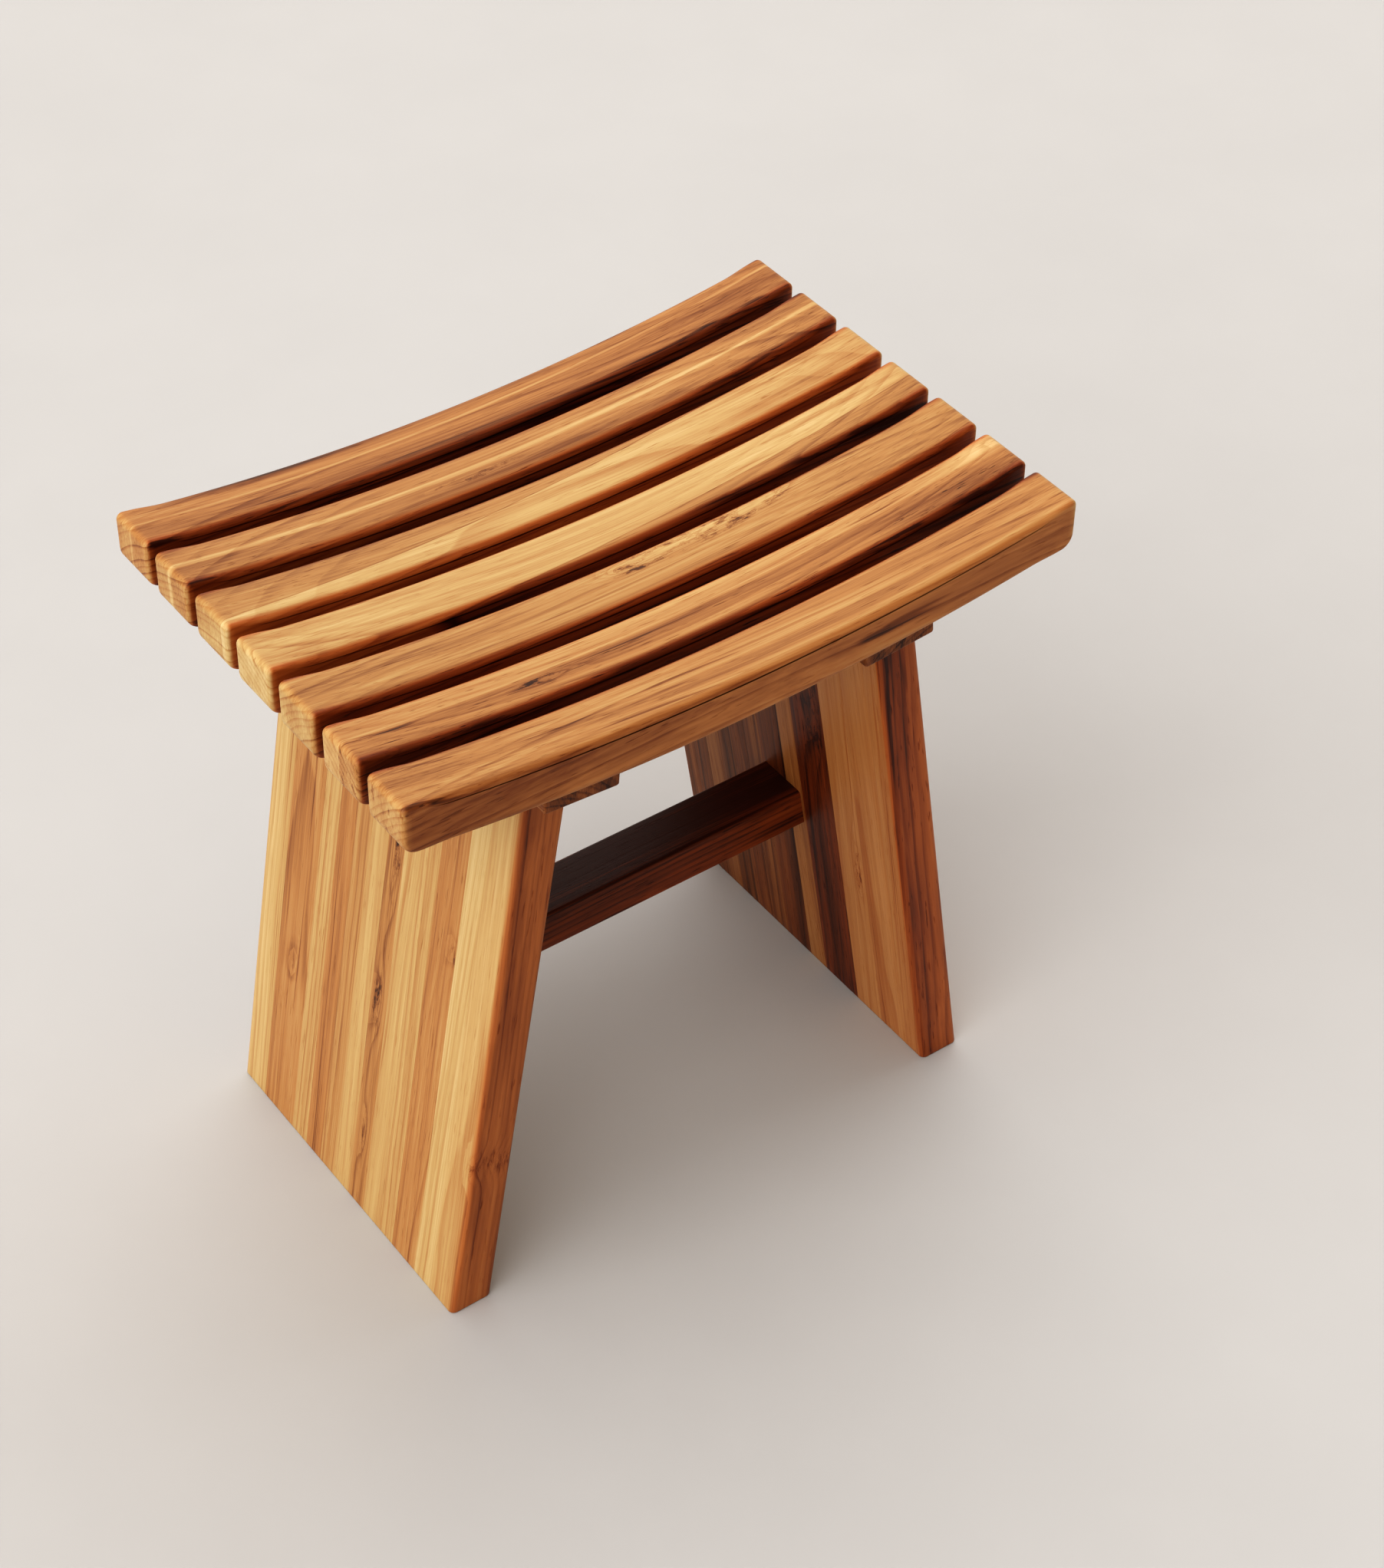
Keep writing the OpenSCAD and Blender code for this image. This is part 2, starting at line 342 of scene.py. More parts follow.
def add_piece(name, nodes, verts, quads, grain, figure, material):
    """Makes the mesh object, gives it its grain and figure, and sets it in the frame."""
    mesh = bpy.data.meshes.new(name)
    mesh.vertices.add(len(verts))
    mesh.vertices.foreach_set("co", verts.astype(np.float32).ravel())
    mesh.loops.add(quads.size)
    mesh.loops.foreach_set("vertex_index", quads.astype(np.int32).ravel())
    mesh.polygons.add(len(quads))
    mesh.polygons.foreach_set("loop_start", np.arange(0, quads.size, 4, dtype=np.int32))
    mesh.polygons.foreach_set("use_smooth", np.ones(len(quads), bool))
    mesh.update(calc_edges=True)
    mesh.set_sharp_from_angle(angle=CREASE)
    layer = mesh.attributes.new("grain", "FLOAT_VECTOR", "POINT")
    layer.data.foreach_set("vector", grain.astype(np.float32).ravel())
    for key, values in figure.items():
        layer = mesh.attributes.new(key, "FLOAT", "POINT")
        layer.data.foreach_set("value", np.broadcast_to(values, len(verts)).astype(np.float32))
    if mesh.validate():
        raise RuntimeError(f"{name}: the mesh has faults")
    mesh.materials.append(material)
    piece = bpy.data.objects.new(name, mesh)
    bpy.context.scene.collection.objects.link(piece)
    check_box(name, verts, nodes)
    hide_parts(*nodes)
    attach(piece, "root")
    return piece


def check_box(name, verts, nodes, room=0.0006):
    """Stops the script if a piece doesn't fill the box of the CAD nodes it stands for."""
    low = np.min([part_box(node)[0] for node in nodes], axis=0)
    high = np.max([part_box(node)[1] for node in nodes], axis=0)
    off = max(np.abs(verts.min(0) - low).max(), np.abs(verts.max(0) - high).max())
    if off > room:
        raise RuntimeError(f"{name} misses its CAD box by {off * 1000:.2f} mm")


# ---------------------------------------------------------------- the seat's arc

def seat_arc(seat):
    """Radius of the seat's top arc, of the slats' undersides, and the height of their axis."""
    low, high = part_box("slat_1")
    half = (high[0] - low[0]) / 2
    top = (half ** 2 + seat.dish ** 2) / (2 * seat.dish)
    return top, top + seat.thickness, seat.height - seat.dish + top


def foot_half():
    """Half the distance between the panels' outer faces at the floor."""
    return -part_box("left_strip_01")[0][0]


def cleat_frame(scene):
    """Tilt of a cleat, its width, and how far its flat underside lies from the seat's axis.

    The cleat's outer lower corner lies in the panel's outer face, a line that leans by the splay.
    """
    legs, parts = scene.stool_legs, scene.stool_frame
    _, under, axis = seat_arc(scene.stool_seat)
    width = legs.thickness / math.cos(legs.splay) + parts.ledge
    below = under + parts.cleat_thickness
    reach = foot_half() * math.cos(legs.splay) - axis * math.sin(legs.splay)
    tilt = (legs.splay + math.asin(reach / math.hypot(below, width / 2))
            - math.atan(width / 2 / below))
    return tilt, width, below


# ---------------------------------------------------------------- grain and figure

def tree_place(along, across, depth, pith, turn, start):
    """Where points of a board lay in the tree, with its pith along the first axis.

    The board's own axes are leaned by two small angles, so that its faces cut the rings on a
    slant, then moved out from the pith. start picks the stretch of trunk.
    """
    lean, skew = turn
    points = np.column_stack([along + start, across + along * lean, depth + along * skew])
    return points + np.array([0.0, pith[0], pith[1]])


def blob(along, across, centre, size, power):
    """A soft round patch: power exp(-(distance / size)^2), with its own size along and across."""
    return power * np.exp(
        -((along - centre[0]) / size[0]) ** 2 - ((across - centre[1]) / size[1]) ** 2)


def eased(share):
    """A share held between 0 and 1 and made smooth at both ends: 3 s^2 - 2 s^3."""
    share = np.clip(share, 0, 1)
    return share * share * (3 - 2 * share)


def face_share(distance, half, skin=0.0005, fade=0.004):
    """1 on the face that lies half away, to a depth of skin, then fading to 0 over fade."""
    return eased((distance - half + skin + fade) / fade)


# How much paler end grain is than the board's faces.
END_PALENESS = 0.15


class Board:
    """How one board looks: its place in the tree, the tones that meet along a line, its flaws."""

    def __init__(self, pith, tones, split=(0.5, 0.0), turn=(0.0, 0.0), seam=(0.0, 0.8), knots=(),
                 stains=(), streak=0.5, coarse=0.3, red=0.0, edge=(0.0, 0.0)):
        self.pith = pith
        self.tones = tones
        self.split = split
        self.turn = turn
        self.seam = seam
        self.knots = knots
        self.stains = stains
        self.streak = streak
        self.coarse = coarse
        self.red = red
        self.edge = edge

    def grain(self, along, across, depth, number):
        """The board's points in its tree. number sends each board to its own stretch."""
        return tree_place(along, across, depth, self.pith, self.turn, 1.7 * number + 0.3)

    def figure(self, along, across, edge=0.0, end=0.0):
        """Values that the wood reads at each point.

        cut is the signed distance from the line where the tones meet, in millimetres, across
        being measured from the board's middle. knot sums its soft patches; stain sums the stains'
        soft patches and the edge tone, less the end grain's paleness. edge and end are 1 on the
        board's narrow faces and on its end grain, and 0 elsewhere: the first take the board's edge
        tone and redness, which on the slats' long sides and the panels' front edges is painted
        shade, the second are paler.
        """
        line_y = self.split[0] + self.split[1] * along
        none = np.zeros(len(along))
        return {
            "tone_a": self.tones[0],
            "tone_b": self.tones[1],
            "cut": (across - line_y) * 1000,
            "seam": self.seam[0],
            "seam_width": self.seam[1],
            "knot": sum((blob(along, across, *spot) for spot in self.knots), none),
            # Stains, plus the edge tone as painted shade, less the end grain's paleness.
            "stain": (sum((blob(along, across, *spot) for spot in self.stains), none)
                      + edge * self.edge[0] - END_PALENESS * end),
            "streak": self.streak,
            "coarse": self.coarse,
            "red": self.red + edge * self.edge[1],
            "end": end,
        }


# How much darker and redder a slat's long sides are than its top: painted shade of the narrow gaps
# between the slats.
SLAT_SIDE_SHADE = (0.27, 1.30)
# How much of that painted shade the first and the last slat's outer sides take, which no slat
# shades.
OPEN_SIDE = 0.28

# From back to front. The tones are those behind the split line and in front of it; the split
# is the line's place across the slat and its slant. Knots and stains are (place, size, power).
SLAT_BOARDS = [
    Board(pith=(0.052, 0.030), tones=(0.50, 0.47), split=(0.004, 0.016), turn=(0.008, 0.006),
          seam=(-0.20, 1.2), streak=0.6, red=0.2, edge=SLAT_SIDE_SHADE,
          stains=[((-0.13, 0.0135), (0.060, 0.0022), 0.45), ((0.20, -0.010), (0.05, 0.010), 0.10)]),
    Board(pith=(0.034, 0.060), tones=(0.54, 0.50), split=(0.0015, 0.004), turn=(-0.006, 0.010),
          seam=(-0.26, 2.2), coarse=0.6, red=0.1, edge=SLAT_SIDE_SHADE,
          knots=[((-0.030, -0.006), (0.035, 0.0030), 0.8)],
          stains=[((0.03, -0.0105), (0.12, 0.0060), 0.17), ((0.21, 0.010), (0.05, 0.006), 0.14)]),
    Board(pith=(0.018, 0.048), tones=(0.46, 0.67), split=(0.006, 0.075), turn=(0.010, -0.006),
          seam=(0.20, 0.5), streak=0.4, coarse=0.5, edge=SLAT_SIDE_SHADE,
          stains=[((0.16, -0.008), (0.06, 0.004), 0.20), ((-0.20, 0.0), (0.05, 0.02), -0.06)]),
    Board(pith=(-0.044, 0.052), tones=(0.70, 0.48), split=(-0.012, 0.050), turn=(0.008, 0.008),
          seam=(0.14, 0.5), streak=0.45, edge=SLAT_SIDE_SHADE,
          stains=[((0.13, -0.016), (0.08, 0.004), 0.08), ((-0.16, -0.014), (0.05, 0.003), 0.12)]),
    Board(pith=(0.060, 0.040), tones=(0.58, 0.51), split=(0.005, -0.020), turn=(-0.008, 0.010),
          edge=SLAT_SIDE_SHADE,
          knots=[((0.048, 0.0090), (0.040, 0.0060), 1.8), ((0.000, 0.0085), (0.022, 0.0050), 1.5),
                 ((0.085, 0.0125), (0.022, 0.0045), 1.0)],
          stains=[((0.05, 0.013), (0.07, 0.006), -0.20)]),
    Board(pith=(-0.070, 0.036), tones=(0.62, 0.47), split=(0.003, 0.010), turn=(0.006, 0.01),
          seam=(-0.10, 1.5), coarse=1.0, streak=0.9, red=0.15, edge=SLAT_SIDE_SHADE,
          knots=[((0.221, 0.0115), (0.010, 0.005), 0.4), ((-0.10, -0.004), (0.022, 0.003), 0.8)],
          stains=[((0.215, 0.010), (0.022, 0.008), -0.24), ((0.19, -0.010), (0.06, 0.007), 0.18)]),
    Board(pith=(0.080, 0.036), tones=(0.53, 0.50), split=(-0.004, 0.018), turn=(0.03, -0.03),
          streak=0.8, red=0.1, edge=SLAT_SIDE_SHADE,
          # The front slat's first stain, pale and drawn out along its front arris, is a painted
          # highlight.
          stains=[((0.10, -0.0140), (0.16, 0.0025), -0.16), ((0.17, 0.004), (0.05, 0.004), 0.12)]),
]

# One tone and one redness for each glued strip, from back to front.
LEFT_TONES = [0.74, 0.53, 0.72, 0.50, 0.64, 0.76, 0.54, 0.72, 0.66, 0.50, 0.82, 0.66]
LEFT_REDS = [0.0, 0.18, 0.0, 0.22, 0.06, 0.0, 0.1, 0.0, 0.0, 0.2, 0.0, 0.05]
# The right panel's inner face has lower tones than the left panel's outer face: painted shade under
# the seat, darkest at the back, with the front strips raised partly as painted light where the side
# light reaches, over the strips' own differences in tone.
RIGHT_TONES_AND_SHADE = [0.24, 0.20, 0.35, 0.18, 0.22, 0.31, 0.22, 0.46, 0.20, 0.75, 0.72, 0.58]
RIGHT_REDS = [0.4, 0.4, 0.3, 0.3, 0.5, 0.4, 0.6, 0.4, 1.0, 0.75, 0.75, 0.7]
# How much darker and redder a panel's front edge is than its faces, as painted shade on the side
# that faces away from the lights, and how much paler and redder its back edge is.
FRONT_EDGE_SHADE = (0.23, 0.75)
BACK_EDGE = (-0.06, 0.4)
# Knots and stains of single strips, placed by height and by distance from the strip's middle.
STRIP_KNOTS = {
    "left_strip_02": [((0.124, 0.002), (0.016, 0.005), 0.5)],
    "left_strip_07": [((0.285, -0.002), (0.045, 0.003), 1.0), ((0.165, 0.001), (0.022, 0.005), 0.9),
                      ((0.06, 0.0), (0.02, 0.004), 0.6)],
    "left_strip_10": [((0.254, -0.010), (0.014, 0.0035), 1.2)],
    "left_strip_12": [((0.12, -0.011), (0.012, 0.004), 0.6)],
    "right_strip_09": [((0.275, -0.006), (0.045, 0.009), 0.9)],
    "right_strip_10": [((0.15, -0.007), (0.030, 0.0030), 1.0)],
}


# ---------------------------------------------------------------- wood material

class Graph:
    """Short words for building a material's nodes."""

    def __init__(self, material):
        material.use_nodes = True
        self.tree = material.node_tree
        self.tree.nodes.clear()

    def add(self, kind, **settings):
        """A new node with its settings."""
        node = self.tree.nodes.new(kind)
        for key, value in settings.items():
            setattr(node, key, value)
        return node

    def feed(self, socket, value):
        """Links another socket to this one, or sets its value."""
        if isinstance(value, bpy.types.NodeSocket):
            self.tree.links.new(value, socket)
        else:
            socket.default_value = value

    def attribute(self, name, output="Fac"):
        """What the mesh holds under this name."""
        return self.add("ShaderNodeAttribute", attribute_name=name).outputs[output]

    def math(self, operation, a, b=0.0, clamp=False):
        """One sum; clamp holds it between 0 and 1."""
        node = self.add("ShaderNodeMath", operation=operation, use_clamp=clamp)
        self.feed(node.inputs[0], a)
        self.feed(node.inputs[1], b)
        return node.outputs[0]

    def vector_math(self, operation, a, b):
        """One sum of two vectors, number by number."""
        node = self.add("ShaderNodeVectorMath", operation=operation)
        self.feed(node.inputs[0], a)
        self.feed(node.inputs[1], b)
        return node.outputs[0]

    def scaled(self, vector, scale):
        """A vector with its own scale on each axis."""
        return self.vector_math("MULTIPLY", vector, scale)

    def moved(self, vector, by):
        """A vector moved by another."""
        return self.vector_math("ADD", vector, by)

    def noise(self, vector, detail=2.0, roughness=0.5, output="Factor"):
        """A soft noise with one wave to each unit of vector, as a number or as a colour."""
        node = self.add("ShaderNodeTexNoise", noise_dimensions="3D")
        self.feed(node.inputs["Vector"], vector)
        node.inputs["Scale"].default_value = 1.0
        node.inputs["Detail"].default_value = detail
        node.inputs["Roughness"].default_value = roughness
        return node.outputs[0 if output == "Factor" else 1]

    def step(self, value, low, high):
        """Rises smoothly from 0 at low to 1 at high."""
        node = self.add("ShaderNodeMapRange", interpolation_type="SMOOTHSTEP", clamp=True)
        self.feed(node.inputs["Value"], value)
        node.inputs["From Min"].default_value = low
        node.inputs["From Max"].default_value = high
        return node.outputs["Result"]

    def mixed(self, factor, a, b):
        """a where factor is 0, b where it is 1."""
        node = self.add("ShaderNodeMix", data_type="FLOAT")
        self.feed(node.inputs[0], factor)
        self.feed(node.inputs[2], a)
        self.feed(node.inputs[3], b)
        return node.outputs[0]

    def ramp(self, value, stops):
        """Turns a value into colour by stops of (place, colour)."""
        node = self.add("ShaderNodeValToRGB")
        band = node.color_ramp
        while len(band.elements) < len(stops):
            band.elements.new(0.5)
        for element, (place, colour) in zip(band.elements, stops):
            element.position = place
            element.color = (*colour, 1.0)
        self.feed(node.inputs[0], value)
        return node.outputs[0]


# How finely each noise of the wood varies along the grain, across it and into the board.
WANDER = (4.5, 20, 20)
FIBRES = (9, 850, 230)
PORES = (45, 1150, 600)
BANDS = (1.3, 70, 34)
VEINS = (2.4, 240, 75)
CURLS = (75, 230, 230)

# How far each part of the figure moves a board's tone, which runs from 0 (dark) to 1 (pale).
TONE_WEIGHTS = {
    "band": 0.62, "ring": -0.17, "end_ring": -0.14, "fibre": 0.48, "pore": -1.0,
    "vein": -0.30, "seam": -1.0, "stain": -1.0, "swirl": -0.50,
}


def grain_heights(g, wood):
    """The wood's figure as sockets: growth ring lines, fibres, pores, bands and streaks.

    Rings are circles about the pith, pushed about by a slow wander. Each is dark at its late
    edge, by its own strength. Fibres and pores are noises drawn out along the grain.
    """
    place = g.attribute("grain", "Vector")
    knot = g.attribute("knot")
    wander = g.moved(g.noise(g.scaled(place, WANDER), 2.0, 0.5, "Color"), (-0.5,) * 3)
    place_r = g.moved(place, g.scaled(wander, (0.0, 0.007, 0.007)))
    parts = g.add("ShaderNodeSeparateXYZ")
    g.feed(parts.inputs[0], place_r)
    y, z = parts.outputs[1], parts.outputs[2]
    radius = g.math("SQRT", g.math("ADD", g.math("MULTIPLY", y, y), g.math("MULTIPLY", z, z)))
    radius = g.math("ADD", radius, g.math("MULTIPLY", knot, 0.012))
    phase = g.math("DIVIDE", radius, wood.ring_gap)
    number = g.math("FLOOR", phase)
    part = g.math("FRACT", phase)
    strength = g.add("ShaderNodeTexWhiteNoise", noise_dimensions="1D")
    g.feed(strength.inputs["W"], number)
    late = g.math("MULTIPLY", g.step(part, 0.45, 0.93), g.step(part, 1.0, 0.94))
    ring = g.math("MULTIPLY", late, g.math("ADD", g.math(
        "MULTIPLY", strength.outputs["Value"], 0.85), 0.15))
    fibre = g.noise(g.scaled(place_r, FIBRES), 3.0, 0.62)
    fine = g.noise(g.scaled(place, PORES), 2.0, 0.6)
    pore = g.math("MULTIPLY", g.step(fine, 0.60, 0.70), g.math(
        "SUBTRACT", 1.1, g.math("MULTIPLY", part, 0.7)))
    band = g.noise(g.scaled(place_r, BANDS), 2.0, 0.55)
    vein = g.noise(g.scaled(place_r, VEINS), 2.0, 0.6)
    return ring, fibre, pore, band, vein, knot


def wood_tone(g, ring, fibre, pore, band, vein, knot):
    """The wood's tone as a socket, from 0 (dark) to 1 (pale).

    The board's two tones meet along its cut, which the veins waver, and a seam may follow it.
    Bands, rings, fibres, pores, veins, stains with the painted shade of edges, and knots then each
    move the tone by their weight.
    """
    waver = g.math("MULTIPLY", g.math("SUBTRACT", vein, 0.5), 2.2)
    cut = g.math("ADD", g.attribute("cut"), waver)
    tone = g.mixed(g.step(cut, -0.25, 0.25), g.attribute("tone_b"), g.attribute("tone_a"))
    seam_place = g.math("DIVIDE", g.math("ABSOLUTE", cut), g.attribute("seam_width"))
    pore_depth = g.math("ADD", g.math("MULTIPLY", g.attribute("coarse"), 0.20), 0.10)
    curl = g.noise(g.scaled(g.attribute("grain", "Vector"), CURLS), 3.0, 0.6)
    curl_line = g.step(g.math("ABSOLUTE", g.math("SUBTRACT", curl, 0.52)), 0.035, 0.0)
    swirl = g.math("ADD", g.math("MULTIPLY", curl_line, 0.42), g.step(curl, 0.52, 0.66))
    amounts = {
        "band": g.math("SUBTRACT", band, 0.5),
        "ring": ring,
        "end_ring": g.math("MULTIPLY", ring, g.attribute("end")),
        "fibre": g.math("SUBTRACT", fibre, 0.5),
        "pore": g.math("MULTIPLY", pore, pore_depth),
        "vein": g.math("MULTIPLY", g.step(vein, 0.62, 0.69), g.attribute("streak")),
        "seam": g.math("MULTIPLY", g.attribute("seam"), g.step(seam_place, 1.2, 0.3)),
        # The stain value also holds the painted shade of the slats' long sides and the panels'
        # front edges.
        "stain": g.math("MULTIPLY", g.attribute("stain"), g.math("ADD", vein, 0.5)),
        "swirl": g.math("MULTIPLY", g.step(knot, 0.10, 0.75), swirl),
    }
    for key, weight in TONE_WEIGHTS.items():
        tone = g.math("ADD", tone, g.math("MULTIPLY", amounts[key], weight))
    return tone


def finish_material(g, shader, height, strength, distance):
    """Raises the surface by height, at most by distance, and closes the material."""
    bump = g.add("ShaderNodeBump")
    bump.inputs["Strength"].default_value = strength
    bump.inputs["Distance"].default_value = distance
    g.feed(bump.inputs["Height"], height)
    g.feed(shader.inputs["Normal"], bump.outputs[0])
    out = g.add("ShaderNodeOutputMaterial")
    g.feed(out.inputs[0], shader.outputs[0])


def wood_material(name, wood):
    """Oiled teak that reads a piece's own grain and figure.

    A ramp turns the wood's tone into colour, which the redder boards tint. Fibres and pores
    roughen it, and pores and ring lines lie lower than the fibres.
    """
    material = bpy.data.materials.new(name)
    g = Graph(material)
    ring, fibre, pore, band, vein, knot = grain_heights(g, wood)
    colour = g.ramp(wood_tone(g, ring, fibre, pore, band, vein, knot), [
        (0.0, wood.dark), (0.25, wood.brown), (0.50, wood.honey), (0.74, wood.tan),
        (1.0, wood.pale)])
    tint = g.add("ShaderNodeMix", data_type="RGBA", blend_type="MULTIPLY")
    g.feed(tint.inputs[0], g.attribute("red"))
    g.feed(tint.inputs[6], colour)
    tint.inputs[7].default_value = (*wood.red, 1.0)
    shader = g.add("ShaderNodeBsdfPrincipled")
    g.feed(shader.inputs["Base Color"], tint.outputs[2])
    rough = g.math("ADD", g.math("MULTIPLY", fibre, 0.16), g.math("MULTIPLY", pore, 0.15))
    rough = g.math("ADD", rough, wood.roughness - 0.08, clamp=True)
    g.feed(shader.inputs["Roughness"], rough)
    shader.inputs["Specular IOR Level"].default_value = wood.specular
    height = g.math("SUBTRACT", g.math("MULTIPLY", fibre, 0.6), pore)
    height = g.math("SUBTRACT", height, g.math("MULTIPLY", ring, 0.4))
    finish_material(g, shader, height, strength=0.30, distance=0.0004)
    return material


def plain_material(name, colour, metallic, roughness, scale, amount):
    """A small part's finish: one colour mottled by a noise on its own coordinates."""
    material = bpy.data.materials.new(name)
    g = Graph(material)
    place = g.add("ShaderNodeTexCoord").outputs["Object"]
    mottle = g.noise(g.scaled(place, scale), 3.0, 0.6)
    dark = [c * (1 - amount) for c in colour]
    shader = g.add("ShaderNodeBsdfPrincipled")
    g.feed(shader.inputs["Base Color"], g.ramp(mottle, [(0.3, dark), (0.7, colour)]))
    g.feed(shader.inputs["Roughness"], g.math("ADD", g.math(
        "MULTIPLY", mottle, 0.2), roughness - 0.1, clamp=True))
    shader.inputs["Metallic"].default_value = metallic
    finish_material(g, shader, mottle, strength=0.15, distance=0.0002)
    return material


# ---------------------------------------------------------------- slats

def slat_outline(half, seat, across, down):
    """A slat's side view as rows of x, z and the outward normal's x and z.

    The top and the underside are arcs about the seat's axis. The ends are plumb. The toe,
    above, and the heel, below, are circles that touch the arc and the plumb face. The left
    end is the right end mirrored.
    """
    top, under, axis = seat_arc(seat)
    toe_x, heel_x = half - seat.toe, half - seat.heel
    toe_z = axis - math.sqrt((top + seat.toe) ** 2 - toe_x ** 2)
    heel_z = axis - math.sqrt((under - seat.heel) ** 2 - heel_x ** 2)
    toe_a = math.atan2(toe_x, axis - toe_z)
    heel_a = math.atan2(heel_x, axis - heel_z)
    quarter = math.pi / 2
    toe_n, heel_n = 6, 7
    face = line((half, toe_z, 1.0, 0.0), (half, heel_z, 1.0, 0.0), down - toe_n - heel_n)
    right = np.concatenate([
        normal_arc((toe_x, toe_z), seat.toe, quarter + toe_a, 0.0, toe_n)[:-1],
        face[:-1],
        normal_arc((heel_x, heel_z), seat.heel, 0.0, heel_a - quarter, heel_n),
    ])
    left = right[::-1] * [-1, 1, -1, 1]
    return join(
        normal_arc((0.0, axis), top, -quarter - toe_a, -quarter + toe_a, across, -1),
        right,
        normal_arc((0.0, axis), under, -quarter + heel_a, -quarter - heel_a, across),
        left,
    )


def slat_surface(low, high, seat, across=150, down=18, bend=6, flat=12, near=0.008, far=0.03):
    """A slat: its side view carried across the slat, drawn in round both long edges.

    Each point of the outline has its own rounding r, which eases from the long edges' to the
    upright end edges' between far and near from the end. At angle a of the round, the point
    stands r(1 - cos a) in from the side and is drawn in along its normal by r(1 - sin a).
    Between the rounds the top falls by the crown towards the sides, as the square of the
    distance.
    """
    half, width = (high[0] - low[0]) / 2, high[1] - low[1]
    outline = slat_outline(half, seat, across, down)
    ease = eased((np.abs(outline[:, 0]) - half + far) / (far - near))
    r = seat.edge + (seat.end_edge - seat.edge) * ease
    a = np.linspace(0.0, math.pi / 2, bend + 1)
    reach, inset = np.outer(1 - np.cos(a), r), np.outer(1 - np.sin(a), r)
    share = np.linspace(0, 1, flat + 1)[1:-1, None]
    place = np.concatenate([reach, r + (width - 2 * r) * share, width - reach[::-1]])
    draw = np.concatenate([inset, np.zeros((flat - 1, len(r))), inset[::-1]])
    top = np.arange(len(r)) <= across
    fall = seat.crown * (2 * place / width - 1) ** 2 * (1 - ease) * top
    return closed_loft(np.stack([
        outline[:, 0] - draw * outline[:, 2],
        low[1] + place,
        outline[:, 1] - draw * outline[:, 3] - fall,
    ], -1), across, down)


class STOOL_OT_slats(bpy.types.Operator):
    """Makes the seven curved slats"""

    bl_idname = "stool.slats"
    bl_label = "Slats"

    def execute(self, context):
        scene = context.scene
        seat = scene.stool_seat
        material = wood_material("slat_teak", scene.stool_wood)
        for i, board in enumerate(SLAT_BOARDS, start=1):
            node = f"slat_{i}"
            low, high = (np.array(corner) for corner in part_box(node))
            verts, quads = slat_surface(low, high, seat)
            along = verts[:, 0]
            across = verts[:, 1] - (low[1] + high[1]) / 2
            depth = verts[:, 2] - low[2]
            # edge is 1 on a slat's long sides, which take the painted shade of the gaps between
            # slats; the outer sides of the first and last slat take less of it, the end grain none.
            edge = face_share(np.abs(across), (high[1] - low[1]) / 2)
            end = face_share(np.abs(along), (high[0] - low[0]) / 2)
            open_side = (i == 1) * (across > 0) + (i == SLATS) * (across < 0)
            edge = edge * np.where(open_side, OPEN_SIDE, 1.0) * (1 - end)
            add_piece(f"teak_slat_{i}", [node], verts, quads,
                      board.grain(along, across, depth, i),
                      board.figure(along, across, edge, end), material)
        return {"FINISHED"}


# ---------------------------------------------------------------- leg panels

def strip_plan(y0, y1, legs, free, draw, across, down):
    """A strip's section across its panel, thickness by width, drawn in all round by draw."""
    radii = [max((legs.edge if own else legs.glue_line) - draw, SHARP)
             for own in (free[1], free[1], free[0], free[0])]
    return round_box_outline(
        (draw, y0 + draw * free[0]), (legs.thickness - draw, y1 - draw * free[1]),
        radii, down, across)


def strip_surface(y0, y1, scene, free, across=12, down=16, rise=70):
    """One glued strip of the left leg panel, from y0 to y1.

    Its plan, panel thickness by strip width, is carried up the panel's lean. Each point starts
    on the floor and ends on the cleat's underside, both of which cut the panel on a slant. free
    says whether the low-y and the high-y side are the panel's own edges: only those corners are
    rounded, and only those sides are drawn in by the easing at the foot.
    """
    legs = scene.stool_legs
    tilt, _, below = cleat_frame(scene)
    _, _, axis = seat_arc(scene.stool_seat)
    sin, cos, foot_x = math.sin(legs.splay), math.cos(legs.splay), foot_half()
    inset, reach = rounding(legs.foot, 4)
    up = np.concatenate([reach, np.full(rise, reach[-1])])[:, None]
    share = np.concatenate([np.zeros(len(reach)), np.linspace(0, 1, rise + 1)[1:]])[:, None]
    draws = np.concatenate([inset, np.zeros(rise)])
    plans = np.array([strip_plan(y0, y1, legs, free, draw, across, down) for draw in draws])
    x, y = plans[..., 0], plans[..., 1]
    foot_z = x * sin / cos + up
    # The cleat's underside is the plane that lies below from the seat's axis, square to (nx, nz).
    nx, nz = -math.sin(tilt), -math.cos(tilt)
    start = (x * cos - foot_x) * nx + (-x * sin - axis) * nz
    head_z = (below - start) / (sin * nx + cos * nz)
    z = foot_z + (head_z - foot_z) * share
    return closed_loft(
        np.stack([x * cos + z * sin - foot_x, y, z * cos - x * sin], -1), down, across)


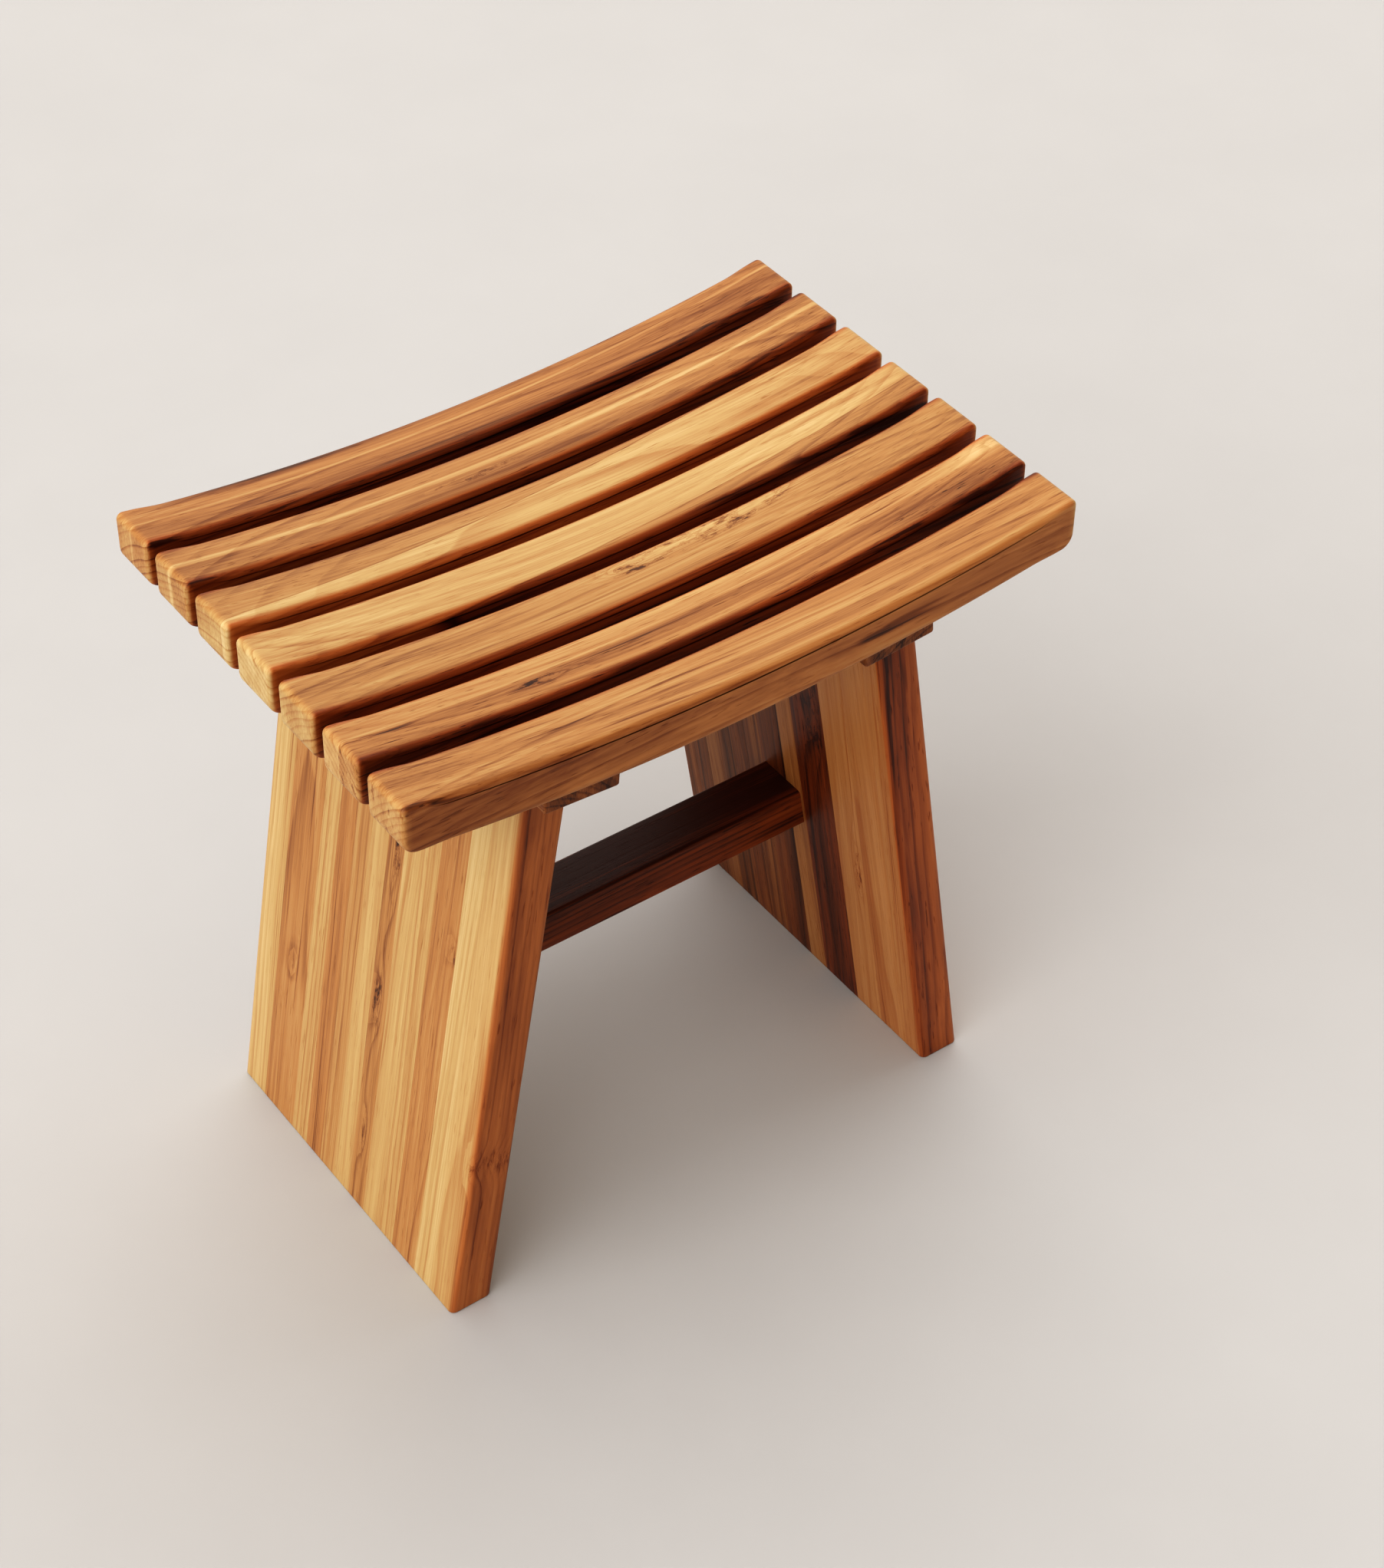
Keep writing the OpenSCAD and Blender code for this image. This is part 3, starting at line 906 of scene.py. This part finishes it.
class STOOL_OT_leg_panels(bpy.types.Operator):
    """Makes the glued strips of the two leg panels"""

    bl_idname = "stool.leg_panels"
    bl_label = "Leg panels"

    def execute(self, context):
        scene = context.scene
        lean, foot_x = math.tan(scene.stool_legs.splay), foot_half()
        material = wood_material("panel_teak", scene.stool_wood)
        looks = (("left", LEFT_TONES, LEFT_REDS), ("right", RIGHT_TONES_AND_SHADE, RIGHT_REDS))
        for side, tones, reds in looks:
            for i, (tone, red) in enumerate(zip(tones, reds), start=1):
                node = f"{side}_strip_{i:02d}"
                low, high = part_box(node)
                verts, quads = strip_surface(low[1], high[1], scene, (i == STRIPS, i == 1))
                along = verts[:, 2]
                across = verts[:, 1] - (low[1] + high[1]) / 2
                depth = verts[:, 0] + foot_x - verts[:, 2] * lean
                if side == "right":
                    verts = verts * [-1, 1, 1]
                    quads = quads[:, ::-1]
                board = strip_board(side, i, tone, red)
                # edge is 1 on a panel's front and back edges; the front edge's darker tone is
                # painted shade.
                outward = across * ((i == 1) - (i == STRIPS))
                edge = face_share(outward, (high[1] - low[1]) / 2) * (i in (1, STRIPS))
                add_piece(f"teak_{node}", [node], verts, quads,
                          board.grain(along, across, depth, i + (20 if side == "left" else 40)),
                          board.figure(along, across, edge), material)
        return {"FINISHED"}


def strip_board(side, i, tone, red):
    """The board that a strip was sawn from. Its place in the tree varies with its number."""
    k = i * 1.9 + (0.7 if side == "left" else 2.3)
    pith = (0.05 * math.cos(k) + 0.01, 0.05 + 0.03 * math.sin(k * 1.7))
    turn = (0.012 * math.sin(k * 2.1), 0.02 * math.cos(k * 1.3))
    return Board(pith=pith, tones=(tone, tone), turn=turn, streak=0.5 + 0.5 * math.sin(k * 3.1),
                 coarse=0.3 + 0.3 * math.cos(k), red=red,
                 # The front strip's darker edge tone is painted shade.
                 edge=FRONT_EDGE_SHADE if i == STRIPS else BACK_EDGE,
                 knots=STRIP_KNOTS.get(f"{side}_strip_{i:02d}", ()))


# ---------------------------------------------------------------- cleats and stretcher

def cleat_surface(low_y, high_y, scene, across=24, down=12, run=40):
    """The left cleat: its end view carried along Y, drawn in at both ends.

    In the cleat's own frame the underside and the sides are flat, the lower corners are round,
    and the top is the arc of the slats' undersides.
    """
    parts = scene.stool_frame
    _, under, axis = seat_arc(scene.stool_seat)
    tilt, width, below = cleat_frame(scene)
    half, corner = width / 2, parts.cleat_edge
    inset, reach = rounding(parts.cleat_end, 4)
    places = np.concatenate([
        low_y + reach, np.linspace(low_y + reach[-1], high_y - reach[-1], run + 1)[1:-1],
        high_y - reach[::-1]])
    draws = np.concatenate([inset, np.zeros(run - 1), inset[::-1]])
    outlines = np.array([round_box_outline(
        (draw - half, draw - below), (half - draw, -under),
        (SHARP, SHARP, corner - draw, corner - draw), across, down) for draw in draws])
    x, z = outlines[..., 0], outlines[..., 1]
    top = z > -under - 5 * SHARP
    z = np.where(top, z + under - np.sqrt(under ** 2 - x ** 2), z)
    return closed_loft(np.stack([
        x * math.cos(tilt) + z * math.sin(tilt),
        np.broadcast_to(places[:, None], x.shape),
        axis - x * math.sin(tilt) + z * math.cos(tilt),
    ], -1), across, down)


class STOOL_OT_cleats(bpy.types.Operator):
    """Makes the two boards under the slats"""

    bl_idname = "stool.cleats"
    bl_label = "Cleats"

    def execute(self, context):
        scene = context.scene
        material = wood_material("cleat_teak", scene.stool_wood)
        for number, (side, sign) in enumerate((("left", 1), ("right", -1))):
            node = f"{side}_cleat"
            low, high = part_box(node)
            verts, quads = cleat_surface(low[1], high[1], scene)
            along, across = verts[:, 1], verts[:, 0] - verts[:, 0].mean()
            depth = verts[:, 2] - verts[:, 2].min()
            verts = verts * [sign, 1, 1]
            quads = quads[:, ::sign]
            board = Board(pith=(0.04, 0.05), tones=(0.24, 0.24), turn=(0.01, 0.02), red=0.4)
            add_piece(f"teak_{node}", [node], verts, quads,
                      board.grain(along, across, depth, 60 + number),
                      board.figure(along, across), material)
        return {"FINISHED"}


def stretcher_surface(low, high, edge, splay, across=16, down=14, run=90):
    """The stretcher: a round-edged section carried along X between two sloping ends.

    A point's place along X is a share of the length at its own height, which shortens upwards
    by the tangent of the splay.
    """
    outline = round_box_outline((low[1], low[2]), (high[1], high[2]), (edge,) * 4, across, down)
    y, z = outline[:, 0], outline[:, 1]
    half = high[0] - (z - low[2]) * math.tan(splay)
    share = np.linspace(-1, 1, run + 1)
    loops = np.stack([np.outer(share, half), np.broadcast_to(y, (run + 1, len(y))),
                      np.broadcast_to(z, (run + 1, len(z)))], -1)
    return closed_loft(loops, across, down)


class STOOL_OT_stretcher(bpy.types.Operator):
    """Makes the bar between the leg panels"""

    bl_idname = "stool.stretcher"
    bl_label = "Stretcher"

    def execute(self, context):
        scene = context.scene
        low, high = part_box("stretcher")
        verts, quads = stretcher_surface(
            low, high, scene.stool_frame.stretcher_edge, scene.stool_legs.splay)
        # The stretcher's near-black tone is partly darker wood and partly painted shade from the
        # seat above; its front and back sides are paler, so its top and underside keep the most
        # painted shade.
        board = Board(pith=(0.05, 0.04), tones=(0.01, 0.01), turn=(0.01, -0.015), streak=0.8,
                      red=1.0, edge=(-0.14, 0.2))
        along, across, depth = verts[:, 0], verts[:, 1], verts[:, 2] - low[2]
        side = face_share(np.abs(across), high[1])
        add_piece("teak_stretcher", ["stretcher"], verts, quads,
                  board.grain(along, across, depth, 70), board.figure(along, across, side),
                  wood_material("stretcher_teak", scene.stool_wood))
        return {"FINISHED"}


# ---------------------------------------------------------------- fixings

class STOOL_OT_fixings(bpy.types.Operator):
    """Gives the screws and the dowels their finish"""

    bl_idname = "stool.fixings"
    bl_label = "Fixings"

    def execute(self, context):
        steel = plain_material(
            "screw_steel", colour=(0.56, 0.56, 0.55), metallic=1.0, roughness=0.32,
            scale=(900,) * 3, amount=0.2)
        beech = plain_material(
            "dowel_beech", colour=(0.60, 0.40, 0.21), metallic=0.0, roughness=0.55,
            scale=(60, 60, 900), amount=0.25)
        for node, material in (
                ("slat_screws", steel), ("leg_dowels", beech), ("stretcher_dowels", beech)):
            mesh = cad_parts[node].data
            mesh.materials.clear()
            mesh.materials.append(material)
        return {"FINISHED"}


# ---------------------------------------------------------------- stage

def look_at(place, aim, roll=0.0):
    """A matrix at place that looks at aim, leaned by roll about the line of sight."""
    back = (Vector(place) - Vector(aim)).normalized()
    right = Vector((0, 0, 1)).cross(back).normalized()
    up = back.cross(right)
    x = right * math.cos(roll) + up * math.sin(roll)
    y = -right * math.sin(roll) + up * math.cos(roll)
    turn = Matrix((x, y, back)).transposed().to_4x4()
    return Matrix.Translation(place) @ turn


# Each soft light's azimuth, elevation and spread in degrees, and its colour.
SUNS = {
    "top": (-130, 66, 100, (1.0, 1.0, 1.0)),
    "side": (-76, 29, 66, (1.0, 0.99, 0.97)),
    "back": (130, 35, 90, (1.0, 0.99, 0.97)),
}


def add_soft_sun(name, azimuth, elevation, spread, colour, strength):
    """A distant light as wide as spread, from the given direction, all in degrees."""
    light = bpy.data.lights.new(name, "SUN")
    light.angle = math.radians(spread)
    light.energy = strength
    light.color = colour
    lamp = bpy.data.objects.new(name, light)
    a, e = math.radians(azimuth), math.radians(elevation)
    place = (math.sin(a) * math.cos(e), -math.cos(a) * math.cos(e), math.sin(e))
    lamp.matrix_world = look_at(place, (0.0, 0.0, 0.0))
    bpy.context.scene.collection.objects.link(lamp)


class STOOL_OT_stage(bpy.types.Operator):
    """Makes the floor, the lights and the camera"""

    bl_idname = "stool.stage"
    bl_label = "Stage"

    def execute(self, context):
        scene = context.scene
        stage = scene.stool_stage
        mesh = bpy.data.meshes.new("floor")
        r = stage.floor_half
        mesh.from_pydata([(-r, -r, 0), (r, -r, 0), (r, r, 0), (-r, r, 0)], [], [(0, 1, 2, 3)])
        floor = bpy.data.objects.new("floor", mesh)
        scene.collection.objects.link(floor)
        floor.data.materials.append(plain_material(
            "pale_floor", colour=tuple(stage.floor), metallic=0.0, roughness=0.8,
            scale=(6,) * 3, amount=0.03))

        world = bpy.data.worlds.new("soft_sky")
        scene.world = world
        world.use_nodes = True
        background = world.node_tree.nodes["Background"]
        background.inputs["Color"].default_value = (*stage.sky_colour, 1.0)
        background.inputs["Strength"].default_value = stage.sky
        for name, sun in SUNS.items():
            add_soft_sun(f"{name}_light", *sun, getattr(stage, name))

        camera = bpy.data.cameras.new("camera")
        camera.sensor_width = 36.0
        camera.lens = stage.lens
        camera.clip_end = 50.0
        view = bpy.data.objects.new("camera", camera)
        a, e = stage.azimuth, stage.elevation
        away = Vector((math.sin(a) * math.cos(e), -math.cos(a) * math.cos(e), math.sin(e)))
        aim = Vector(stage.aim)
        view.matrix_world = look_at(aim + away * stage.distance, aim, stage.roll)
        scene.collection.objects.link(view)
        scene.camera = view
        scene.view_settings.view_transform = "Standard"
        scene.view_settings.look = "High Contrast"
        return {"FINISHED"}


# ---------------------------------------------------------------- panel and main

OPERATORS = (STOOL_OT_slats, STOOL_OT_leg_panels, STOOL_OT_cleats, STOOL_OT_stretcher,
             STOOL_OT_fixings, STOOL_OT_stage)
GROUPS = {
    "stool_seat": StoolSeat,
    "stool_legs": StoolLegs,
    "stool_frame": StoolFrame,
    "stool_wood": StoolWood,
    "stool_stage": StoolStage,
}


class STOOL_PT_panel(bpy.types.Panel):
    """Lists the stool's operators and sizes in the sidebar"""

    bl_label = "Stool"
    bl_idname = "STOOL_PT_panel"
    bl_space_type = "VIEW_3D"
    bl_region_type = "UI"
    bl_category = "Stool"

    def draw(self, context):
        for operator in OPERATORS:
            self.layout.operator(operator.bl_idname)
        for key, group in GROUPS.items():
            box = self.layout.box()
            box.label(text=group.__doc__)
            for name in group.__annotations__:
                box.prop(getattr(context.scene, key), name)


def register():
    for cls in (*GROUPS.values(), *OPERATORS, STOOL_PT_panel):
        bpy.utils.register_class(cls)
    for key, group in GROUPS.items():
        setattr(bpy.types.Scene, key, PointerProperty(type=group))


def unregister():
    for key in GROUPS:
        delattr(bpy.types.Scene, key)
    for cls in reversed((*GROUPS.values(), *OPERATORS, STOOL_PT_panel)):
        bpy.utils.unregister_class(cls)


def corners(bounds):
    """A box's two corners as plain lists."""
    return [[float(v) for v in corner] for corner in bounds]


def main():
    register()
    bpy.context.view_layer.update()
    bpy.ops.stool.slats()
    bpy.ops.stool.leg_panels()
    bpy.ops.stool.cleats()
    bpy.ops.stool.stretcher()
    bpy.ops.stool.fixings()
    bpy.ops.stool.stage()


if __name__ == "__main__":
    main()
